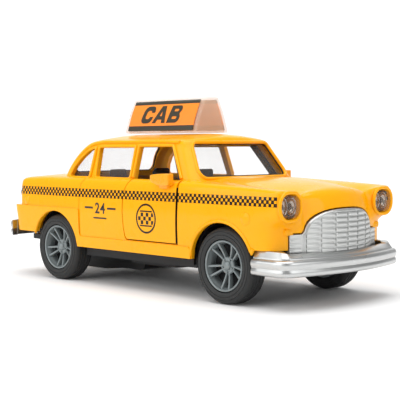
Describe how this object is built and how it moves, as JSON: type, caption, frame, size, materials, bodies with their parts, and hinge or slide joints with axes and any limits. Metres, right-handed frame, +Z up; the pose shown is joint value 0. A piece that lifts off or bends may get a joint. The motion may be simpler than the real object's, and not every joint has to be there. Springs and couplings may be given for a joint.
{
  "type": "friction toy car",
  "caption": "Die-cast toy cab with opening front doors, rolling wheels, a roof sign, and a flywheel friction motor geared to the rear axle.",
  "frame": {"origin": "on the ground, under the middle of the car's overall box", "axes": "+X forward, +Y to the car's left, +Z up"},
  "size_m": [0.133, 0.054, 0.0584],
  "materials": {
    "yellow_paint": "gloss taxi-yellow enamel on a zinc casting",
    "amber_plastic": "gloss amber-yellow moulding",
    "clear_plastic": "clear polystyrene",
    "black_plastic": "fine matte",
    "steel": "bright drawn",
    "silver_plating": "vacuum-plated, slightly satin",
    "red_plastic": "translucent red lens",
    "orange_label": "printed film",
    "tyre_rubber": "matte",
    "grey_plastic": "satin metallic grey",
    "white_nylon": "natural"
  },
  "bodies": {
    "car": {"body_shell": "yellow_paint", "glazing": "clear_plastic", "interior_tub": "black_plastic", "steering_wheel": "black_plastic", "chassis": "black_plastic", "chassis_screw_front": "steel", "chassis_screw_rear": "steel", "grille": "silver_plating", "front_bumper": "silver_plating", "rear_bumper": "silver_plating", "headlamp_lens_right": "clear_plastic", "headlamp_lens_left": "clear_plastic", "headlamp_reflector_right": "silver_plating", "headlamp_reflector_left": "silver_plating", "tail_lamp_right": "red_plastic", "tail_lamp_left": "red_plastic", "sign_housing": "clear_plastic", "sign_label_right": "orange_label", "sign_label_left": "orange_label", "motor_case_right": "black_plastic", "motor_case_left": "black_plastic"},
    "door_right": {"front_door_right": "yellow_paint", "door_mirror_right": "amber_plastic"},
    "door_left": {"front_door_left": "yellow_paint", "door_mirror_left": "amber_plastic"},
    "front_wheels": {"front_axle": "steel", "rim_front_right": "grey_plastic", "rim_front_left": "grey_plastic", "tyre_front_right": "tyre_rubber", "tyre_front_left": "tyre_rubber"},
    "rear_wheels": {"rear_axle": "steel", "rim_rear_right": "grey_plastic", "rim_rear_left": "grey_plastic", "tyre_rear_right": "tyre_rubber", "tyre_rear_left": "tyre_rubber", "axle_gear": "white_nylon"},
    "idler": {"idler_shaft": "steel", "idler_pinion": "white_nylon", "idler_gear": "white_nylon"},
    "flywheel_rotor": {"flywheel_shaft": "steel", "flywheel_pinion": "white_nylon", "flywheel": "steel"}
  },
  "joints": [
    {"name": "door_right_hinge", "type": "hinge", "parent": "car", "child": "door_right", "pos_m": [0.0245, -0.0226, 0.023], "axis": [0, 0, 1], "range_deg": [0, 50]},
    {"name": "door_left_hinge", "type": "hinge", "parent": "car", "child": "door_left", "pos_m": [0.0245, 0.0226, 0.023], "axis": [0, 0, 1], "range_deg": [-50, 0]},
    {"name": "front_axle_spin", "type": "hinge", "parent": "car", "child": "front_wheels", "pos_m": [0.0393, 0, 0.0106], "axis": [0, 1, 0], "continuous": true},
    {"name": "rear_axle_spin", "type": "hinge", "parent": "car", "child": "rear_wheels", "pos_m": [-0.0367, 0, 0.0106], "axis": [0, 1, 0], "continuous": true},
    {"name": "idler_spin", "type": "hinge", "parent": "car", "child": "idler", "pos_m": [-0.02824, 0, 0.01368], "axis": [0, 1, 0], "continuous": true},
    {"name": "flywheel_spin", "type": "hinge", "parent": "car", "child": "flywheel_rotor", "pos_m": [-0.01907, 0, 0.01122], "axis": [0, 1, 0], "continuous": true}
  ],
  "couplings": [
    {"joint": "idler_spin", "follows": "rear_axle_spin", "ratio": -2},
    {"joint": "flywheel_spin", "follows": "rear_axle_spin", "ratio": 4.3333}
  ]
}
